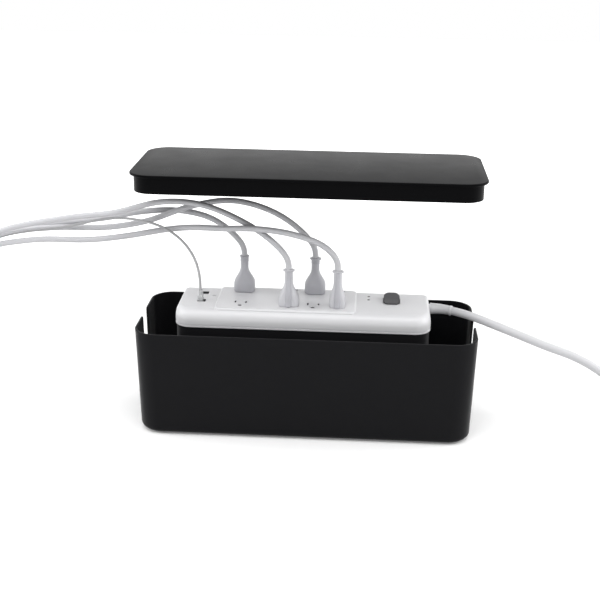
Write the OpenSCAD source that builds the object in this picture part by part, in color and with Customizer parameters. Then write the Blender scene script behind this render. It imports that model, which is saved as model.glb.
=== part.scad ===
/* [Tub] */
// Length of the tub over its rim
tub_l = 400; // [360:5:480]
// Width of the tub over its rim
tub_w = 156; // [135:1:190]
// Height of the rim above the standing surface
tub_h = 130; // [115:1:156]
// Corner radius of the rim, seen from above
tub_r = 27; // [20:1:34]
// Thickness of the tub's wall
tub_wall = 2.5; // [2:0.1:3.2]
// Thickness of the tub's floor
tub_floor = 3; // [2:0.1:5]
// How far each end leans in from rim to floor
end_lean = 3; // [1:0.5:5]
// How far each long side leans in from rim to floor
side_lean = 7.5; // [3:0.5:9]
// Radius of the tub's rounded lower edge
toe_r = 8; // [5:0.5:12]

/* [Cord slots] */
// Width of the open slot in each end
slot_w = 29; // [22:1:40]
// Depth of the slot below the rim
slot_d = 62; // [50:1:75]
// Radius of the slot's corners
slot_r = 4; // [2:0.5:6]

/* [Feet] */
// Diameter of a rubber foot
foot_d = 14; // [8:1:18]
// Height of a rubber foot
foot_h = 1.5; // [1:0.1:2.5]

/* [Lid] */
// Thickness of the lid's plate
lid_t = 3; // [2.4:0.1:4]
// How far the plate stands out past the lid's skirt
lid_lip = 4.5; // [4:0.1:6]
// Depth of the skirt below the plate
skirt_h = 19; // [12:1:24]
// Thickness of the skirt
skirt_t = 2; // [1.5:0.1:3]
// How far the lid is lifted above the closed position
lid_lift = 184; // [150:1:220]

/* [Power strip] */
// Length of the strip
strip_l = 302; // [300:1:310]
// Width of the strip
strip_w = 91; // [88:1:104]
// Height of the strip's flat top above its underside
strip_h = 40; // [38:1:50]
// Height of the lower housing, up to the parting line
base_h = 18; // [15:1:20]
// Thickness of the strip's housings
strip_wall = 2.2; // [1.8:0.1:2.6]
// Radius of the strip's two front corners, seen from above
strip_r = 20; // [12:1:24]
// Radius of the strip's two back corners, seen from above
strip_back_r = 5; // [4:1:9]
// Reach of the rolled edge along the long sides
roll_side = 10; // [6:0.5:11]
// Reach of the rolled edge at the ends
roll_end = 5; // [3:0.5:8]
// Height of the rolled edge
roll_h = 13; // [10:0.5:16]
// Height of the raised outlet field
field_h = 2; // [1:0.5:3]
// How far the strip is lifted above its place in the tub
strip_lift = 105; // [90:1:120]

/* [Outlets] */
// Distance from one outlet column to the next
column_pitch = 28.75; // [28:0.25:32]
// Distance from one outlet row to the next
row_pitch = 49; // [46:0.5:52]
// Distance between the two blade slots of an outlet
blade_gap = 12.7; // [12:0.1:13.5]
// Distance from the blades to the ground pin
ground_gap = 11.9; // [11:0.1:13]
// Length of a blade below the plug's face
blade_l = 17.5; // [14:0.5:18.5]

/* [Rocker switch] */
// Width of the rocker
rocker_w = 19; // [16:0.5:22]
// Radius of the rocker's round ends about its axle
rocker_r = 15; // [12:0.5:16]
// Height of the rocker's ridge above its axle
rocker_top = 9.5; // [8:0.5:11]
// Depth of the rocker's axle below the strip's top
rocker_axle = 4; // [3:0.5:6]

/* [Cords] */
// Diameter of an appliance cord
cord_d = 7; // [6:0.5:8]
// Diameter of the thin telephone cord
phone_d = 3; // [2.5:0.1:3.5]
// Diameter of the mains cord
mains_d = 10; // [9:0.5:11]

/* [Hidden] */
DEVICES = [1, 2, 3, 4];

// Shared fits and finenesses
gap = 0.3;
running = 0.05;
thin = 0.01;
fine = 48;
soft = 32;
floor_top = foot_h + tub_floor;

// Colours
shell_black = [0.11, 0.11, 0.12];
rubber_black = [0.05, 0.05, 0.05];
strip_white = [0.9, 0.9, 0.91];
base_black = [0.07, 0.07, 0.08];
rocker_grey = [0.33, 0.33, 0.34];
plug_grey = [0.78, 0.78, 0.8];
cord_white = [0.86, 0.86, 0.87];
brass = [0.8, 0.65, 0.3];
copper = [0.75, 0.45, 0.3];
steel = [0.7, 0.7, 0.72];
nylon = [0.85, 0.83, 0.76];
board_green = [0.1, 0.35, 0.2];

// The strip's own frame: origin at the middle of its underside, while lifted
strip_x = -5;
strip_y = 0.5;
strip_z = floor_top + 0.5 + strip_lift;
base_inset = 1.2;
cover_in = strip_h - strip_wall;
field_z = strip_h + field_h;
field_from = [-104, -40];
field_to = [63, 40];

// Outlets: four columns, with one blank pitch after the first
column_1 = -74.5;
columns = [for (i = [0, 2, 3, 4]) column_1 + i * column_pitch];
row_mid = 3;
rows = [row_mid - row_pitch / 2, row_mid + row_pitch / 2];
blade_y = 6;
ground_y = blade_y - ground_gap;
blade_t = 1.5;
blade_w = 6.4;
pin_d = 4.75;
leaf_t = 0.6;
carrier_t = 5;
carrier_z = cover_in - carrier_t;
rail_z = 20;
rail_t = 0.8;
rail_w = 3;
link_z = 16.5;
neutral_off = -5.5;

// Rocker switch
rocker_x = 105;
rocker_y = 9;
rocker_z = strip_h - rocker_axle;
rocker_tilt = 6;
axle_d = 3;
axle_out = 1.6;
switch_wall = 2.4;

// Surge board and what stands on it
board_z = 11;
board_t = 1.6;
board_top = board_z + board_t;
board_x = 60;
lens_x = 77.4;
lens_y = [11.5, 23.3];
lens_d = 3;
led_h = 5;
lead_d = 2.4;

// Telephone jacks
jack_x = -127.2;
jack_w = 9.6;
jack_h = 10;
jack_y = [14, -14];
jack_deep = 12;
jack_wall = 1.8;
jack_screw_lug = 9;
jack_board_z = cover_in - jack_deep - jack_wall - board_t;
phone_plug_w = 6.6;
phone_top_z = strip_z + strip_h + 13.5;
jack_screw_at = [-109.5, 8.5];

// Screws that hold the two housings together
screw_x = [-strip_l / 2 + 17, strip_l / 2 - 27];
screw_at = [for (x = screw_x, y = [-1, 1]) [x, y * (strip_w / 2 - 18)]];
screw_d = 3;
screw_head_d = 5.6;
screw_head_h = 2.2;
post_d = 8;

// Mains cord outlet in the strip's right end
gland_y = 19.5;
gland_z = 29;
gland_d = mains_d + 3;

// Moulded plugs: width, depth and place on the outlet grid
plug_size = [[25, 22], [24, 22], [25, 22], [19.5, 21]];
plug_at = [[0, 1], [1, 0], [2, 1], [3, 0]];
plug_body_h = 19;
plug_neck_z = 33;
plug_h = 44.5;
plug_neck_d = 9.5;
plug_collar_d = 11.5;
plug_face_z = strip_z + field_z;
plug_top_z = plug_face_z + plug_h;

// Routes of the cords where they aren't coiled
device_routes = [
  [[-79.5, 28, plug_top_z], [-79.5, 28, 206], [-96, 26, 227], [-121, 24, 244], [-160, 15.5, 254],
   [-203, 10.5, 252], [-241, 10, 244], [-288, 10.5, 237], [-364, 18, 221], [-404, 16, 198],
   [-434, 11, 148], [-449, 8, 78], [-463, 7, 34], [-487, 6.5, 11]],
  [[-22, -21, plug_top_z], [-22, -21, 206], [-39, -20, 227], [-76, -17, 251], [-127, -11, 269],
   [-174, -9, 270], [-228, -11, 256], [-280, -12, 249], [-366, -14, 230], [-428, -14, 196],
   [-478, -11, 140], [-525, -8, 58], [-552, -6.5, 24], [-586, -6.5, 10.5]],
  [[6.75, 28, plug_top_z], [6.75, 28, 206.5], [-7, 26.5, 226], [-45, 22, 254], [-94, 15, 268],
   [-142, 8, 261], [-193, 3, 243], [-240, 3, 234], [-309, 4, 231], [-373, 8, 219],
   [-446, 8, 176], [-510, 7, 84], [-552, 6.5, 24], [-586, 6.5, 10.5]],
  [[35.5, -21, plug_top_z], [35.5, -21, 206.5], [20.5, -24, 225.5], [-18, -28, 241], [-64, -27, 246],
   [-96, -20, 243], [-136, -8, 240], [-168, 2, 234], [-216, 0, 225], [-261, -8, 221],
   [-328, -12, 220], [-394, -12, 203], [-426, -10, 147], [-444, -8, 84], [-461, -7, 35],
   [-487, -6.5, 11]]
];
phone_route = [
  [strip_x + jack_x + 0.2 + phone_plug_w / 2, strip_y + jack_y[1] + jack_h / 2, phone_top_z],
  [-128.7, -8.5, 174], [-131.5, -8.6, 192], [-139, -8.8, 210], [-154, -9, 228], [-178, -9, 242],
  [-229, -5, 248], [-285, -5, 236], [-370, -4, 220], [-430, -4, 188], [-480, -5, 108],
  [-514, -12, 30], [-538, -16, 4.5]
];
mains_route = [
  [strip_x + strip_l / 2 + 1, strip_y + gland_y, strip_z + gland_z],
  [160, strip_y + gland_y, strip_z + gland_z],
  [180, 12, 138], [198, 6, 135], [222, 0, 128], [253, 0, 116], [286, 0, 103], [320, 0, 91],
  [346, -2, 78], [372, -6, 60], [398, -11, 38], [440, -14.5, 15]
];

// Coils on the floor: centre, outer and inner radius
coil_at = [[-490, 48], [-586, -48], [-586, 48], [-490, -48]];
coil_r = [45, 23.5];
phone_coil_at = [-538, 0];
phone_coil_r = [18, 6];
mains_coil_at = [440, 40];
mains_coil_r = [59.5, 33];

// Mains plug on the floor: its face's place, width and height
mains_plug_y = -42;
mains_plug_size = [30, 24];

// Appliance connectors that lie beside the coils
connector_w = 24;
connector_h = 16;
connector_l = 30;
boot_l = 14;
connector_off = 19;
connector_side = 45;

// Plan outline with round corners
module outline(l, w, r) {
  square([l - 2 * r, w], center = true);
  square([l, w - 2 * r], center = true);
  for (x = [-1, 1], y = [-1, 1])
    translate([x * (l / 2 - r), y * (w / 2 - r)])
      circle(r);
}

// Solid drawn through plan outlines, each given as [z, length, width, radius]
module through_levels(levels) {
  hull()
    for (v = levels)
      translate([0, 0, v[0]])
        linear_extrude(thin)
          outline(v[1], v[2], v[3], $fn = soft);
}

// Plan outline of the strip, drawn in from its edge, with tighter corners at the back
module strip_outline(l, w, inset) {
  front = strip_r - inset;
  back = max(strip_back_r - inset, 2);
  translate([front - l / 2, -w / 2])
    square([l - 2 * front, w / 2]);
  translate([back - l / 2, 0])
    square([l - 2 * back, w / 2]);
  translate([-l / 2, front - w / 2])
    square([l, w - front - back]);
  for (x = [-1, 1]) {
    translate([x * (l / 2 - front), front - w / 2])
      circle(front);
    translate([x * (l / 2 - back), w / 2 - back])
      circle(back);
  }
}

// Cord swept along a route, one ring at each of its points
function unit(v) = v / norm(v);
function heading(p, i) = unit(p[min(i + 1, len(p) - 1)] - p[max(i - 1, 0)]);
function ring(p, t, r, sides) =
  let (a = unit(cross(t, [0, 1, 0])), b = cross(t, a))
  [for (k = [0:sides - 1]) p + r * (cos(360 * k / sides) * a + sin(360 * k / sides) * b)];

module cord(route, d, sides) {
  n = len(route);
  points = [for (i = [0:n - 1]) each ring(route[i], heading(route, i), d / 2, sides)];
  walls = [
    for (i = [0:n - 2], k = [0:sides - 1])
      let (a = i * sides + k, b = i * sides + (k + 1) % sides)
      each [[a, b, b + sides], [a, b + sides, a + sides]]
  ];
  caps = [
    [for (k = [sides - 1:-1:0]) k],
    [for (k = [0:sides - 1]) (n - 1) * sides + k]
  ];
  polyhedron(points = points, faces = concat(walls, caps));
}

// Coil of cord lying flat, two turns high
module coil(at, radii, d) {
  translate([at.x, at.y, d])
    rotate_extrude($fn = 72)
      translate([(radii[0] + radii[1]) / 2, 0])
        outline(radii[0] - radii[1], 2 * d, d / 2, $fn = fine);
}

// Length and width of the tub's outside at a height
function tub_long(z) = tub_l - 2 * end_lean * (1 - z / tub_h);
function tub_wide(z) = tub_w - 2 * side_lean * (1 - z / tub_h);

// Solid with the tub's leaning sides and rounded lower edge
module tub_solid(inset, bottom, toe, top) {
  through_levels([
    for (a = [0:18:90])
      let (z = bottom + toe * (1 - cos(a)), in = inset + toe * (1 - sin(a)))
      [z, tub_long(z) - 2 * in, tub_wide(z) - 2 * in, tub_r - in],
    [top - thin, tub_long(top) - 2 * inset, tub_wide(top) - 2 * inset, tub_r - inset]
  ]);
}

// Slot profile: round corners at its foot, flared at the rim
module slot_outline() {
  translate([0, tub_h - slot_d / 2])
    outline(slot_w, slot_d, slot_r, $fn = fine);
  translate([-slot_w / 2, tub_h - slot_r * 2])
    square([slot_w, slot_r * 3]);
  for (side = [-1, 1])
    difference() {
      translate([side * slot_w / 2 - slot_r, tub_h - slot_r])
        square([2 * slot_r, 2 * slot_r]);
      translate([side * (slot_w / 2 + slot_r), tub_h - slot_r])
        circle(slot_r, $fn = fine);
    }
}

module tub() {
  color(shell_black)
    difference() {
      tub_solid(0, foot_h, toe_r, tub_h);
      tub_solid(tub_wall, floor_top, toe_r - 1, tub_h + 1);
      translate([-tub_l, 0, 0])
        rotate([90, 0, 90])
          linear_extrude(2 * tub_l)
            slot_outline();
    }
}

module tub_feet() {
  color(rubber_black)
    for (x = [-1, 1], y = [-1, 1])
      translate([x * (tub_l / 2 - 45), y * (tub_w / 2 - 30), 0])
        cylinder(h = foot_h, d = foot_d, $fn = fine);
}

module lid() {
  skirt_out = [tub_l - 2 * lid_lip, tub_w - 2 * lid_lip];
  skirt_r = tub_r - lid_lip;
  color(shell_black)
    translate([0, 0, tub_h + lid_lift]) {
      linear_extrude(lid_t)
        outline(tub_l, tub_w, tub_r, $fn = fine);
      translate([0, 0, -skirt_h])
        linear_extrude(skirt_h + lid_t / 2)
          difference() {
            outline(skirt_out.x, skirt_out.y, skirt_r, $fn = fine);
            outline(skirt_out.x - 2 * skirt_t, skirt_out.y - 2 * skirt_t, skirt_r - skirt_t, $fn = fine);
          }
    }
}

// Moves a piece of the strip to where the lifted strip is
module in_strip() {
  translate([strip_x, strip_y, strip_z])
    children();
}

// Places a child at each outlet: blades along Y, plug centre at the origin
module at_outlets() {
  for (x = columns, y = rows)
    translate([x, y, 0])
      children();
}

// Openings of one outlet through a thickness
module outlet_cuts(from, to, slack) {
  for (side = [-1, 1])
    translate([side * blade_gap / 2 - blade_t / 2 - slack, blade_y - blade_w / 2 - slack, from])
      cube([blade_t + 2 * slack, blade_w + 2 * slack, to - from]);
  translate([0, ground_y, from])
    cylinder(h = to - from, d = pin_d + 2 * slack, $fn = fine);
}

// Share of the rolled edge's reach at a height
function rolled(z) =
  let (s = max(0, 1 - (strip_h - z) / roll_h))
  1 - sqrt(1 - s * s);

// Cover's outside: upright lower wall, then a rolled upper edge
module cover_solid() {
  levels = [
    [base_h, 0],
    for (a = [0:18:90])
      [strip_h - thin - roll_h * (1 - sin(a)), 1 - cos(a)]
  ];
  hull()
    for (v = levels)
      translate([0, 0, v[0]])
        linear_extrude(thin)
          strip_outline(strip_l - 2 * roll_end * v[1], strip_w - 2 * roll_side * v[1], 0, $fn = soft);
}

// Cover's hollow, stepped in under the rolled edge
module cover_hollow() {
  steps = [strip_h - roll_h, strip_h - 0.55 * roll_h, cover_in];
  for (top = steps) {
    long_in = strip_wall + 1.2 * roll_end * rolled(top);
    wide_in = strip_wall + 1.15 * roll_side * rolled(top);
    translate([0, 0, base_h - 1])
      linear_extrude(top - base_h + 1)
        strip_outline(strip_l - 2 * long_in, strip_w - 2 * wide_in, strip_wall, $fn = fine);
  }
}

module outlet_field() {
  l = field_to.x - field_from.x;
  w = field_to.y - field_from.y;
  translate([(field_from.x + field_to.x) / 2, (field_from.y + field_to.y) / 2, 0])
    through_levels([[strip_h - 6, l, w, 7], [strip_h, l, w, 7], [field_z - thin, l - 4, w - 4, 5]]);
}

module jack_openings(from, to, slack) {
  for (y = jack_y)
    translate([jack_x - slack, y - slack, from])
      cube([jack_w + 2 * slack, jack_h + 2 * slack, to - from]);
}

module strip_cover() {
  color(strip_white)
    in_strip()
      difference() {
        union() {
          difference() {
            union() {
              cover_solid();
              outlet_field();
            }
            cover_hollow();
          }
          for (p = screw_at)
            translate([p.x, p.y, base_h + gap])
              cylinder(h = cover_in - base_h, d = post_d, $fn = fine);
        }
        at_outlets()
          outlet_cuts(cover_in - 1, field_z + 1, 0.4);
        jack_openings(cover_in - 1, strip_h + 1, gap);
        translate([jack_screw_at.x, jack_screw_at.y, cover_in - 1])
          cylinder(h = strip_wall + 2, d = screw_head_d + 2 * running, $fn = fine);
        for (y = lens_y)
          translate([lens_x, y, cover_in - 1])
            cylinder(h = strip_wall + 2, d = lens_d + 2 * running, $fn = fine);
        translate([rocker_x - rocker_w / 2 - 0.5, rocker_y - rocker_r - 0.5, cover_in - 1])
          cube([rocker_w + 1, 2 * rocker_r + 1, strip_wall + 2]);
        translate([strip_l / 2 - 3 * strip_wall, gland_y, gland_z])
          rotate([0, 90, 0])
            cylinder(h = 4 * strip_wall, d = gland_d - 2, $fn = fine);
        for (p = screw_at)
          translate([p.x, p.y, base_h - 1])
            cylinder(h = 13, d = screw_d + 2 * running, $fn = fine);
      }
}

module strip_base() {
  l = strip_l - 2 * base_inset;
  w = strip_w - 2 * base_inset;
  color(base_black)
    in_strip()
      difference() {
        union() {
          difference() {
            linear_extrude(base_h)
              strip_outline(l, w, base_inset, $fn = fine);
            translate([0, 0, strip_wall])
              linear_extrude(base_h)
                strip_outline(l - 2 * strip_wall, w - 2 * strip_wall, base_inset + strip_wall, $fn = fine);
          }
          for (p = screw_at)
            translate([p.x, p.y, 1])
              cylinder(h = base_h - 1, d = post_d, $fn = fine);
          for (p = [[board_x + 4, -32], [board_x + 4, 32], [board_x + 52, -32], [board_x + 52, -8]])
            translate([p.x, p.y, 1])
              cylinder(h = board_z - 1, d = 5, $fn = fine);
          translate([jack_x - 3, jack_y[1] - 5, 1])
            cube([4, 6, jack_board_z - gap - 1]);
        }
        for (p = screw_at) {
          translate([p.x, p.y, -1])
            cylinder(h = base_h + 2, d = screw_d + 2 * gap, $fn = fine);
          translate([p.x, p.y, -1])
            cylinder(h = screw_head_h + 3, d = screw_head_d + 2 * gap, $fn = fine);
        }
      }
}

module cover_screws() {
  color(steel)
    in_strip()
      for (p = screw_at)
        translate([p.x, p.y, 2]) {
          translate([0, 0, -screw_head_h + 2])
            cylinder(h = screw_head_h, d = screw_head_d, $fn = fine);
          cylinder(h = base_h + 8, d = screw_d, $fn = fine);
        }
}

module outlet_carrier() {
  margin = 6;
  front = 3;
  back = 2.2;
  color(nylon)
    in_strip()
      difference() {
        translate([field_from.x + margin, field_from.y + front, carrier_z])
          cube([
            field_to.x - field_from.x - 2 * margin,
            field_to.y - field_from.y - front - back,
            carrier_t
          ]);
        at_outlets()
          outlet_cuts(carrier_z - 1, cover_in + 1, 0.5);
      }
}

// One bus: sprung leaves at every outlet, a rail under each row and a link between rows
module blade_bus(side, rail_off, rail_z, link_x) {
  leaf_h = carrier_z - gap - rail_z;
  rail_from = columns[0] - blade_gap;
  for (y = rows) {
    rail_y = y + blade_y + rail_off;
    translate([rail_from, rail_y - rail_w / 2, rail_z])
      cube([link_x - rail_from + rail_w / 2, rail_w, rail_t]);
    for (x = columns)
      translate([x + side * blade_gap / 2, 0, rail_z]) {
        for (leaf = [-1, 1])
          translate([leaf * (blade_t / 2 + running + leaf_t / 2) - leaf_t / 2, y + blade_y - blade_w / 2, 0])
            cube([leaf_t, blade_w, leaf_h]);
        translate([-blade_t / 2 - leaf_t, min(rail_y, y + blade_y) - 1.5, 0])
          cube([blade_t + 2 * leaf_t, abs(rail_y - y - blade_y) + 3, rail_t]);
      }
    translate([link_x - rail_w / 2, rail_y - rail_w / 2, link_z])
      cube([rail_w, rail_w, rail_z - link_z + rail_t]);
  }
  translate([link_x - rail_w / 2, rows[0] + blade_y + rail_off - rail_w / 2, link_z])
    cube([rail_w, row_pitch + rail_w, rail_t]);
}

module hot_bus() {
  color(brass)
    in_strip()
      blade_bus(1, 0, rail_z - 0.5, 50);
}

module neutral_bus() {
  color(brass)
    in_strip()
      blade_bus(-1, neutral_off, rail_z + 2.3, 54.5);
}

module ground_bus() {
  link_x = 46;
  socket_h = carrier_z - gap - rail_z;
  rail_from = columns[0] - blade_gap;
  color(brass)
    in_strip() {
      difference() {
        union()
          for (y = rows) {
            translate([rail_from, y + ground_y - rail_w / 2, rail_z])
              cube([link_x - rail_from + rail_w / 2, rail_w, rail_t]);
            for (x = columns)
              translate([x, y + ground_y, rail_z])
                cylinder(h = socket_h, d = pin_d + 2 * (running + leaf_t), $fn = fine);
            translate([link_x - rail_w / 2, y + ground_y - rail_w / 2, link_z])
              cube([rail_w, rail_w, rail_z - link_z + rail_t]);
          }
        for (x = columns, y = rows)
          translate([x, y + ground_y, rail_z + rail_t])
            cylinder(h = socket_h, d = pin_d + 2 * running, $fn = fine);
      }
      translate([link_x - rail_w / 2, rows[0] + ground_y - rail_w / 2, link_z])
        cube([rail_w, row_pitch + rail_w, rail_t]);
    }
}

module surge_board() {
  color(board_green)
    in_strip()
      translate([board_x, -36, board_z]) {
        cube([30, 72, board_t]);
        cube([56, 32, board_t]);
      }
}

module surge_varistors() {
  color([0.15, 0.3, 0.6])
    in_strip()
      for (i = [0:2])
        translate([board_x + 8 + 8 * i, -22, board_top]) {
          translate([0, 0, 9])
            rotate([0, 90, 0])
              cylinder(h = 4, d = 14, $fn = fine);
          for (y = [-3, 3])
            translate([2, y, 0])
              cylinder(h = 4, d = 0.9, $fn = 16);
        }
}

module thermal_fuse() {
  color(nylon)
    in_strip()
      translate([board_x + 36, -12.5, board_top + 2])
        rotate([0, 90, 0])
          cylinder(h = 12, d = 4, $fn = fine);
}

module noise_choke() {
  color(copper)
    in_strip()
      translate([board_x + 42, -25, board_top + 4.5])
        rotate_extrude($fn = fine)
          translate([6.5, 0])
            outline(5, 9, 2, $fn = fine);
}

module noise_capacitor() {
  color([0.85, 0.75, 0.2])
    in_strip()
      translate([board_x + 4, 8, board_top])
        cube([8, 18, 14]);
}

module status_leds() {
  color([0.6, 0.9, 0.6])
    in_strip()
      for (y = lens_y)
        translate([lens_x, y, board_top])
          cylinder(h = led_h, d = lens_d, $fn = fine);
}

// Light pipe from a lamp up to the cover's top
module light_pipe(i) {
  from = board_top + led_h + 0.2;
  in_strip()
    translate([lens_x, lens_y[i], from]) {
      cylinder(h = strip_h + 0.3 - from, d = lens_d, $fn = fine);
      translate([0, 0, cover_in - from - 1.2])
        cylinder(h = 1, d = lens_d + 2, $fn = fine);
    }
}

module surge_lens() {
  color([0.3, 0.35, 0.3])
    light_pipe(0);
}

module ground_lens() {
  color([0.3, 0.35, 0.3])
    light_pipe(1);
}

module switch_body() {
  inner = [rocker_w + 1, 2 * rocker_r + 1];
  outer = [inner.x + 2 * switch_wall, inner.y + 2 * switch_wall];
  low = board_top + 2;
  deep = rocker_z - 9;
  color([0.12, 0.12, 0.12])
    in_strip()
      translate([rocker_x, rocker_y, 0])
        difference() {
          translate([-outer.x / 2, -outer.y / 2, low])
            cube([outer.x, outer.y, cover_in - low]);
          translate([-inner.x / 2, -inner.y / 2, deep])
            cube([inner.x, inner.y, cover_in]);
          translate([-rocker_w / 2 - axle_out - running, 0, rocker_z])
            rotate([0, 90, 0])
              cylinder(h = rocker_w + 2 * (axle_out + running), d = axle_d + 2 * running, $fn = fine);
        }
}

// Rocker's side profile: a shallow vee above, flat below
module rocker_profile() {
  half = rocker_r;
  polygon([
    [-half, -6], [half, -6], [half, rocker_top + 1.5], [0, rocker_top - 0.3], [-half, rocker_top + 1.5]
  ]);
}

module switch_rocker() {
  color(rocker_grey)
    in_strip()
      translate([rocker_x, rocker_y, rocker_z])
        rotate([rocker_tilt, 0, 0]) {
          intersection() {
            translate([-rocker_w / 2, 0, 0])
              rotate([0, 90, 0])
                cylinder(h = rocker_w, r = rocker_r, $fn = 96);
            translate([-rocker_w / 2, 0, 0])
              rotate([90, 0, 90])
                linear_extrude(rocker_w)
                  rocker_profile();
          }
          translate([-rocker_w / 2 - axle_out, 0, 0])
            rotate([0, 90, 0])
              cylinder(h = rocker_w + 2 * axle_out, d = axle_d, $fn = fine);
        }
}

module mains_gland() {
  reach = strip_l / 2;
  color(strip_white)
    in_strip()
      difference() {
        translate([0, gland_y, gland_z])
          rotate([0, 90, 0]) {
            translate([0, 0, reach - 9])
              cylinder(h = 10, d = gland_d - 2 - 2 * running, $fn = fine);
            translate([0, 0, reach - 10.4])
              cylinder(h = 4.8, d = gland_d + 2, $fn = fine);
          }
        translate([0, gland_y, gland_z])
          rotate([0, 90, 0])
            cylinder(h = reach - 2, d = mains_d - 4, $fn = fine);
      }
}

module line_lead() {
  color([0.1, 0.1, 0.1])
    in_strip()
      cord([[142, gland_y, gland_z + 1.4], [139.5, gland_y, gland_z + 1.4], [130, 17, 29], [117.8, 14, 26]],
           lead_d, 8);
}

module neutral_lead() {
  color([0.92, 0.92, 0.92])
    in_strip()
      cord([[142, gland_y - 1.2, gland_z - 0.7], [139.5, gland_y - 1.2, gland_z - 0.7], [131, 4, 29],
            [122, -10.5, 30], [100, -11.5, 30], [66, -11.5, 29], [60, -11, 21], [57.1, -10, 17]], lead_d, 8);
}

module ground_lead() {
  color([0.2, 0.5, 0.25])
    in_strip()
      cord([[142, gland_y + 1.2, gland_z - 0.7], [139.5, gland_y + 1.2, gland_z - 0.7], [134, 17, 19],
            [130, 12, 10], [122, 10, 6], [96, 6, 5], [60, 4, 5], [50, 3, 8], [46.5, 3, 15.8]], lead_d, 8);
}

module jack_block() {
  color([0.1, 0.1, 0.1])
    in_strip()
      difference() {
        translate([jack_x - jack_wall, jack_y[1] - jack_wall, cover_in - jack_deep - jack_wall])
          cube([
            jack_w + 2 * jack_wall + jack_screw_lug,
            jack_y[0] - jack_y[1] + jack_h + 2 * jack_wall,
            jack_deep + jack_wall
          ]);
        jack_openings(cover_in - jack_deep, strip_h, 0);
        translate([jack_screw_at.x, jack_screw_at.y, cover_in - 9])
          cylinder(h = 10, d = 2 + 2 * running, $fn = fine);
      }
}

module jack_contacts() {
  color(brass)
    in_strip()
      for (y = jack_y, i = [0:3])
        translate([jack_x + phone_plug_w + 0.6, y + 2.8 + 1.2 * i, cover_in - jack_deep + gap])
          rotate([0, 8, 0])
            cube([0.5, 0.6, jack_deep - 3]);
}

module jack_board() {
  color(board_green)
    in_strip()
      translate([jack_x - 2.4, jack_y[1] - 6, jack_board_z])
        cube([28, jack_y[0] - jack_y[1] + jack_h + 12, board_t]);
}

module jack_screw() {
  color(steel)
    in_strip()
      translate([jack_screw_at.x, jack_screw_at.y, cover_in]) {
        cylinder(h = strip_wall - 0.4, d = screw_head_d, $fn = fine);
        translate([0, 0, -8])
          cylinder(h = 8, d = 2, $fn = fine);
      }
}

// Moulded plug: straight lower body, sloping shoulder, neck and collar
module plug_shape(size) {
  through_levels([
    [0, size.x - 1.5, size.y - 1.5, 4], [1, size.x, size.y, 5], [plug_body_h - 3, size.x, size.y, 5],
    [plug_body_h + 2, size.x - 3, size.y - 3.5, 5], [plug_body_h + 6, size.x - 8, size.y - 7, 5]
  ]);
  translate([0, 0, plug_body_h + 5])
    cylinder(h = plug_neck_z - plug_body_h - 5, d1 = size.x - 10.5, d2 = plug_neck_d, $fn = fine);
  translate([0, 0, plug_neck_z - 1])
    cylinder(h = plug_h - plug_neck_z + 1, d = plug_neck_d, $fn = fine);
  translate([0, 0, plug_h - 4])
    cylinder(h = 3, d = plug_collar_d, $fn = fine);
}

// Two blades and a ground pin below a plug's face
module pins_shape() {
  for (side = [-1, 1])
    translate([side * blade_gap / 2 - blade_t / 2, blade_y - blade_w / 2, -blade_l])
      cube([blade_t, blade_w, blade_l]);
  translate([0, ground_y, -blade_l])
    cylinder(h = blade_l, d = pin_d, $fn = fine);
}

// Moves a plug's piece onto its outlet
module at_plug(i) {
  place = plug_at[i - 1];
  in_strip()
    translate([columns[place.x], rows[place.y], field_z])
      children();
}

module plug(i) {
  color(plug_grey)
    at_plug(i)
      plug_shape(plug_size[i - 1]);
}

module plug_pins(i) {
  color(brass)
    at_plug(i)
      pins_shape();
}

module device_cord(i) {
  color(cord_white)
    cord(device_routes[i - 1], cord_d, 10);
}

module device_coil(i) {
  color(cord_white)
    coil(coil_at[i - 1], coil_r, cord_d);
}

// Appliance connector with its boot, lying beside its coil
module device_connector(i) {
  at = coil_at[i - 1];
  side = sign(at.y);
  axis_y = at.y + side * connector_side;
  color(cord_white)
    translate([at.x + connector_off, axis_y, connector_h / 2])
      rotate([0, 90, 0]) {
        cylinder(h = boot_l, d1 = cord_d + 1, d2 = cord_d + 5, $fn = fine);
        translate([0, 0, boot_l])
          linear_extrude(connector_l)
            outline(connector_h, connector_w, 3, $fn = fine);
      }
}

module phone_plug() {
  color([0.85, 0.85, 0.85])
    in_strip()
      translate([jack_x + 0.2, jack_y[1] + 0.2, cover_in - jack_deep + 1]) {
        cube([phone_plug_w, jack_h - 0.4, jack_deep - 1 + strip_wall + 2]);
        translate([phone_plug_w / 2, jack_h / 2 - 0.2, 0])
          cylinder(h = phone_top_z - strip_z - (cover_in - jack_deep + 1), d = phone_d + 1.5, $fn = fine);
      }
}

module phone_cord() {
  color(cord_white)
    cord(phone_route, phone_d, 8);
}

module phone_coil() {
  color(cord_white)
    coil(phone_coil_at, phone_coil_r, phone_d);
}

module phone_end_plug() {
  color([0.85, 0.85, 0.85])
    translate([phone_coil_at.x - 5, phone_coil_at.y + phone_coil_r[0] + 1, 0])
      cube([12, 9.6, 6.6]);
}

module mains_cord() {
  color(cord_white)
    cord(mains_route, mains_d, 12);
}

module mains_coil() {
  color(cord_white)
    coil(mains_coil_at, mains_coil_r, mains_d);
}

// Moves a piece of the mains plug to where it lies, its blades towards -Y
module at_mains_plug() {
  translate([mains_coil_at.x - mains_coil_r[0] + mains_d / 2, mains_plug_y, mains_plug_size.y / 2])
    rotate([-90, 0, 0])
      children();
}

module mains_plug() {
  color(cord_white)
    at_mains_plug() {
      through_levels([
        [0, mains_plug_size.x, mains_plug_size.y, 5], [12, mains_plug_size.x, mains_plug_size.y, 5],
        [24, 17, 16, 5]
      ]);
      translate([0, 0, 22])
        cylinder(h = 24, d1 = mains_d + 4, d2 = mains_d + 1, $fn = fine);
    }
}

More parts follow.
